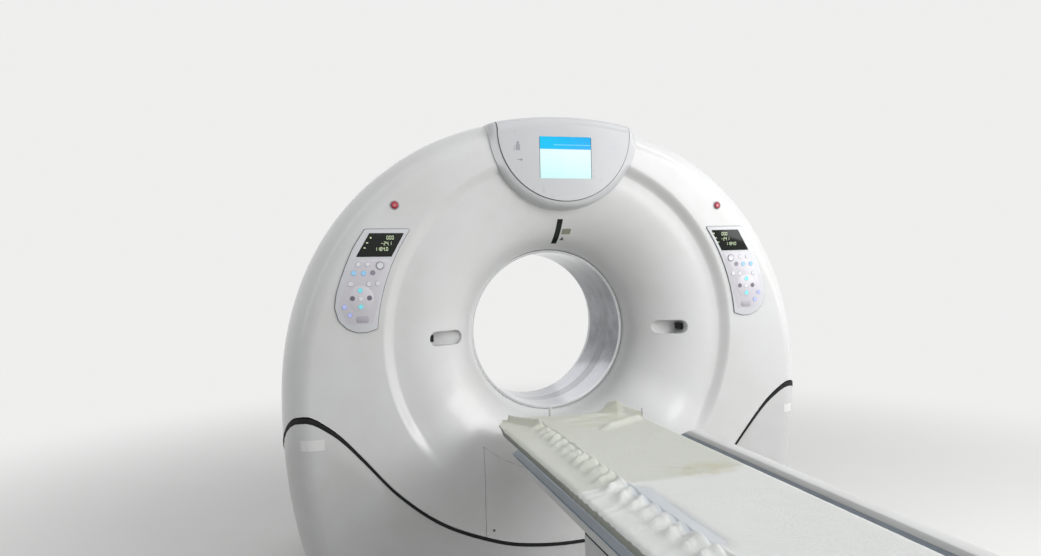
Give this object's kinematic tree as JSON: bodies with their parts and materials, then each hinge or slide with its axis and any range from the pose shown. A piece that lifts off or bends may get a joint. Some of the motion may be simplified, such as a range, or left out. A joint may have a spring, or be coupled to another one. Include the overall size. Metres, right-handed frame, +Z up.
{
  "type": "ct scanner",
  "caption": "Computed tomography scanner with a tilting ring gantry on a fixed base, a rotating scan ring and a lifting couch with a sliding tabletop.",
  "frame": {"origin": "on the floor below the isocentre, at the middle of the gantry's four floor anchors", "axes": "+X to the right as seen from the couch, +Y through the bore from the couch to the rear, +Z up"},
  "size_m": [2.38, 3.424, 1.99],
  "materials": {
    "cover": "satin moulded plastic",
    "cover_trim": "satin",
    "panel": "satin",
    "keypad": "satin",
    "key": "satin",
    "display": "gloss",
    "screen": "lit screen",
    "dark_window": "gloss",
    "estop": "satin",
    "collar": "satin",
    "seal": "matt",
    "liner": "polished",
    "liner_trim": "polished",
    "frame": "painted",
    "casting": "painted",
    "steel": "machined",
    "motor": "painted",
    "drum": "machined",
    "brass": "polished",
    "tube": "painted",
    "lead": "cast",
    "detector": "anodised",
    "foot": "matt",
    "couch_cover": "satin moulded plastic",
    "couch_metal": "powder coated",
    "rail": "satin",
    "table": "laminate",
    "pad": "woven",
    "sheet": "woven"
  },
  "bodies": {
    "base": {"base_frame": "frame", "left_stand": "casting", "right_stand": "casting", "tilt_bearings": "steel", "tilt_motor": "motor", "front_base_cover": "cover", "rear_base_cover": "cover", "cover_seals": "seal", "levelling_feet": "foot", "floor_duct": "frame", "couch_plinth": "couch_metal", "couch_base_shroud": "couch_cover", "lift_column_outer": "steel", "lift_motor": "motor"},
    "gantry": {"tilt_frame": "frame", "front_cover": "cover", "rear_cover": "cover", "bore_liner": "liner", "bore_trims": "liner_trim", "crown_housing": "cover", "crown_bezel": "cover_trim", "crown_screen": "screen", "left_control_panel": "panel", "right_control_panel": "panel", "control_displays": "display", "left_keypad": "keypad", "right_keypad": "keypad", "laser_housings": "cover", "laser_windows": "dark_window", "top_laser_window": "dark_window", "access_panel": "cover", "estop_collars": "collar", "bearing_outer_race": "steel", "stator_ring": "motor", "brush_block": "frame"},
    "rotor": {"rotor_drum": "drum", "bearing_inner_race": "steel", "slip_ring": "brass", "xray_tube": "tube", "collimator": "lead", "high_voltage_generator": "tube", "detector_arc": "detector", "counterweights": "lead"},
    "left_stop": {"left_estop": "estop"},
    "right_stop": {"right_estop": "estop"},
    "left_enable": {"left_enable_key": "key"},
    "right_enable": {"right_enable_key": "key"},
    "couch_middle": {"couch_middle_shroud": "couch_cover", "lift_column_middle": "steel"},
    "couch_top": {"couch_frame": "couch_metal", "couch_upper_shroud": "couch_cover", "lift_column_inner": "steel", "side_rails": "rail", "slide_motor": "motor"},
    "table": {"tabletop": "table", "mattress": "pad", "sheet": "sheet", "head_posts": "key"}
  },
  "joints": [
    {"name": "gantry_tilt", "type": "hinge", "parent": "base", "child": "gantry", "pos_m": [0, 0, 1.04], "axis": [1, 0, 0], "range_deg": [-10, 22]},
    {"name": "rotor_spin", "type": "hinge", "parent": "gantry", "child": "rotor", "pos_m": [0, 0, 1.04], "axis": [0, 1, 0], "continuous": true},
    {"name": "left_stop_press", "type": "slide", "parent": "gantry", "child": "left_stop", "axis": [0, 1, 0], "range_m": [0, 0.005], "stiffness_N_per_m": 600},
    {"name": "right_stop_press", "type": "slide", "parent": "gantry", "child": "right_stop", "axis": [0, 1, 0], "range_m": [0, 0.005], "stiffness_N_per_m": 600},
    {"name": "left_enable_press", "type": "slide", "parent": "gantry", "child": "left_enable", "axis": [0, 1, 0], "range_m": [0, 0.0025], "stiffness_N_per_m": 400},
    {"name": "right_enable_press", "type": "slide", "parent": "gantry", "child": "right_enable", "axis": [0, 1, 0], "range_m": [0, 0.0025], "stiffness_N_per_m": 400},
    {"name": "couch_middle_lift", "type": "slide", "parent": "base", "child": "couch_middle", "axis": [0, 0, 1], "range_m": [-0.15, 0.125]},
    {"name": "couch_lift", "type": "slide", "parent": "base", "child": "couch_top", "axis": [0, 0, 1], "range_m": [-0.3, 0.25]},
    {"name": "table_slide", "type": "slide", "parent": "couch_top", "child": "table", "axis": [0, 1, 0], "range_m": [-0.35, 0.12]}
  ],
  "couplings": [
    {"joint": "couch_middle_lift", "follows": "couch_lift", "ratio": 0.5}
  ]
}
